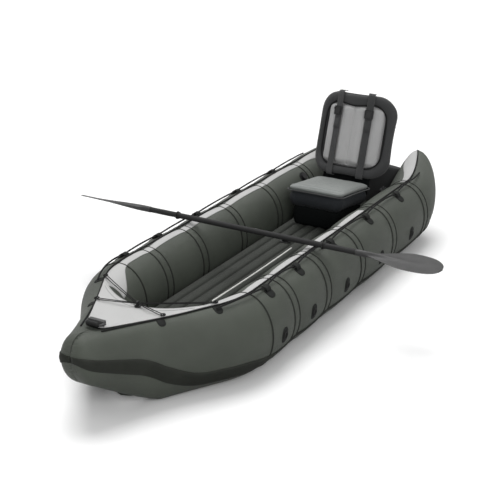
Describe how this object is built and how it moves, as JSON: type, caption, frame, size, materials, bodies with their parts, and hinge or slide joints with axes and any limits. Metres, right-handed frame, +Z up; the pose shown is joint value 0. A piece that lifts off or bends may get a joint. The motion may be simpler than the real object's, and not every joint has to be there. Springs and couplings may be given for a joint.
{
  "type": "inflatable kayak",
  "caption": "Open-top inflatable kayak with upswept bow and stern, clip-in seat with folding backrest, and a two-piece double-bladed paddle.",
  "frame": {"origin": "on the ground under the hull, on the centre plane, at mid length", "axes": "+Z up, +Y from the bow to the stern, +X towards the side named right in the node names, which is the port side of the boat"},
  "size_m": [2.1128, 3.1205, 0.8476],
  "materials": {
    "hull_fabric": "satin",
    "floor_fabric": "matte",
    "light_fabric": "matte",
    "dark_fabric": "matte",
    "seam_tape": "matte",
    "strake_rubber": "matte",
    "cord": "matte",
    "light_cord": "matte",
    "webbing": "matte",
    "panel_fabric": "matte",
    "pad_fabric": "matte",
    "black_plastic": "matte",
    "ring_metal": "satin",
    "grip_rubber": "matte",
    "shaft_metal": "satin",
    "blade_plastic": "satin"
  },
  "bodies": {
    "hull": {"side_tube_left": "hull_fabric", "side_tube_right": "hull_fabric", "bottom_sheet": "hull_fabric", "floor": "floor_fabric", "stern_panel": "dark_fabric", "seat_base": "dark_fabric", "hoop_seams_left": "seam_tape", "hoop_seams_right": "seam_tape", "crown_strip_left": "light_fabric", "crown_strip_right": "light_fabric", "bow_deck": "light_fabric", "rub_strake_left": "strake_rubber", "rub_strake_right": "strake_rubber", "rub_line_left": "strake_rubber", "rub_line_right": "strake_rubber", "edge_piping_left": "cord", "edge_piping_right": "cord", "lifeline_left": "cord", "lifeline_right": "cord", "deck_cords": "cord", "upper_patches_left": "strake_rubber", "upper_patches_right": "strake_rubber", "lower_patches_left": "strake_rubber", "lower_patches_right": "strake_rubber", "side_rings_left": "ring_metal", "side_rings_right": "ring_metal", "deck_rings": "ring_metal", "deck_hook": "black_plastic", "side_valve_left": "black_plastic", "side_valve_right": "black_plastic", "floor_valve": "black_plastic", "bow_handle_mount": "webbing", "paddle_leash": "light_cord", "seat_pad": "pad_fabric", "seat_riser": "dark_fabric", "backrest_flap": "webbing"},
    "backrest": {"backrest_frame": "dark_fabric", "backrest_cover": "dark_fabric", "backrest_panels": "panel_fabric", "backrest_piping": "cord", "backrest_straps": "webbing", "buckle_frames": "black_plastic"},
    "buckle_lever_left": {"buckle_lever_left": "black_plastic"},
    "buckle_lever_right": {"buckle_lever_right": "black_plastic"},
    "paddle": {"shaft_left": "shaft_metal", "blade_left": "blade_plastic", "ferrule": "shaft_metal"},
    "paddle_right": {"shaft_right": "shaft_metal", "blade_right": "blade_plastic"},
    "snap_button": {"snap_button": "ring_metal"},
    "drip_ring_left": {"drip_ring_left": "grip_rubber"},
    "drip_ring_right": {"drip_ring_right": "grip_rubber"},
    "valve_cap_left": {"side_valve_cap_left": "black_plastic"},
    "valve_cap_right": {"side_valve_cap_right": "black_plastic"},
    "valve_cap_floor": {"floor_valve_cap": "black_plastic"},
    "bow_handle": {"bow_grip": "grip_rubber", "bow_handle_cord": "webbing"}
  },
  "joints": [
    {"name": "backrest_fold", "type": "hinge", "parent": "hull", "child": "backrest", "pos_m": [0, 1.037, 0.402], "axis": [1, 0, 0], "range_deg": [-5, 96]},
    {"name": "buckle_left_lift", "type": "hinge", "parent": "backrest", "child": "buckle_lever_left", "pos_m": [-0.10034, 1.14692, 0.74906], "axis": [-0.9708, 0.2276, -0.0762], "range_deg": [0, 60]},
    {"name": "buckle_right_lift", "type": "hinge", "parent": "backrest", "child": "buckle_lever_right", "pos_m": [0.10034, 1.14692, 0.74906], "axis": [-0.9708, -0.2276, 0.0762], "range_deg": [0, 60]},
    {"name": "paddle_lift", "type": "slide", "parent": "hull", "child": "paddle", "axis": [0, 0, 1], "range_m": [0, 0.25]},
    {"name": "paddle_feather", "type": "hinge", "parent": "paddle", "child": "paddle_right", "pos_m": [0, -0.077, 0.41], "axis": [1, 0, 0], "range_deg": [-31, 29]},
    {"name": "snap_press", "type": "slide", "parent": "paddle_right", "child": "snap_button", "axis": [0, 0, -1], "range_m": [0, 0.003]},
    {"name": "drip_left_slide", "type": "slide", "parent": "paddle", "child": "drip_ring_left", "axis": [1, 0, 0], "range_m": [-0.06, 0.012]},
    {"name": "drip_right_slide", "type": "slide", "parent": "paddle_right", "child": "drip_ring_right", "axis": [1, 0, 0], "range_m": [-0.012, 0.06]},
    {"name": "valve_right_open", "type": "hinge", "parent": "hull", "child": "valve_cap_right", "pos_m": [0.23491, 1.02, 0.325], "axis": [0, -1, 0], "range_deg": [0, 110]},
    {"name": "valve_left_open", "type": "hinge", "parent": "hull", "child": "valve_cap_left", "pos_m": [-0.23491, 1.02, 0.325], "axis": [0, 1, 0], "range_deg": [0, 110]},
    {"name": "valve_floor_open", "type": "hinge", "parent": "hull", "child": "valve_cap_floor", "pos_m": [-0.04, 0.377, 0.1889], "axis": [1, 0, 0], "range_deg": [0, 110]},
    {"name": "bow_handle_swing", "type": "hinge", "parent": "hull", "child": "bow_handle", "pos_m": [0, -1.368, 0.427], "axis": [-1, 0, 0], "range_deg": [0, 120]}
  ]
}
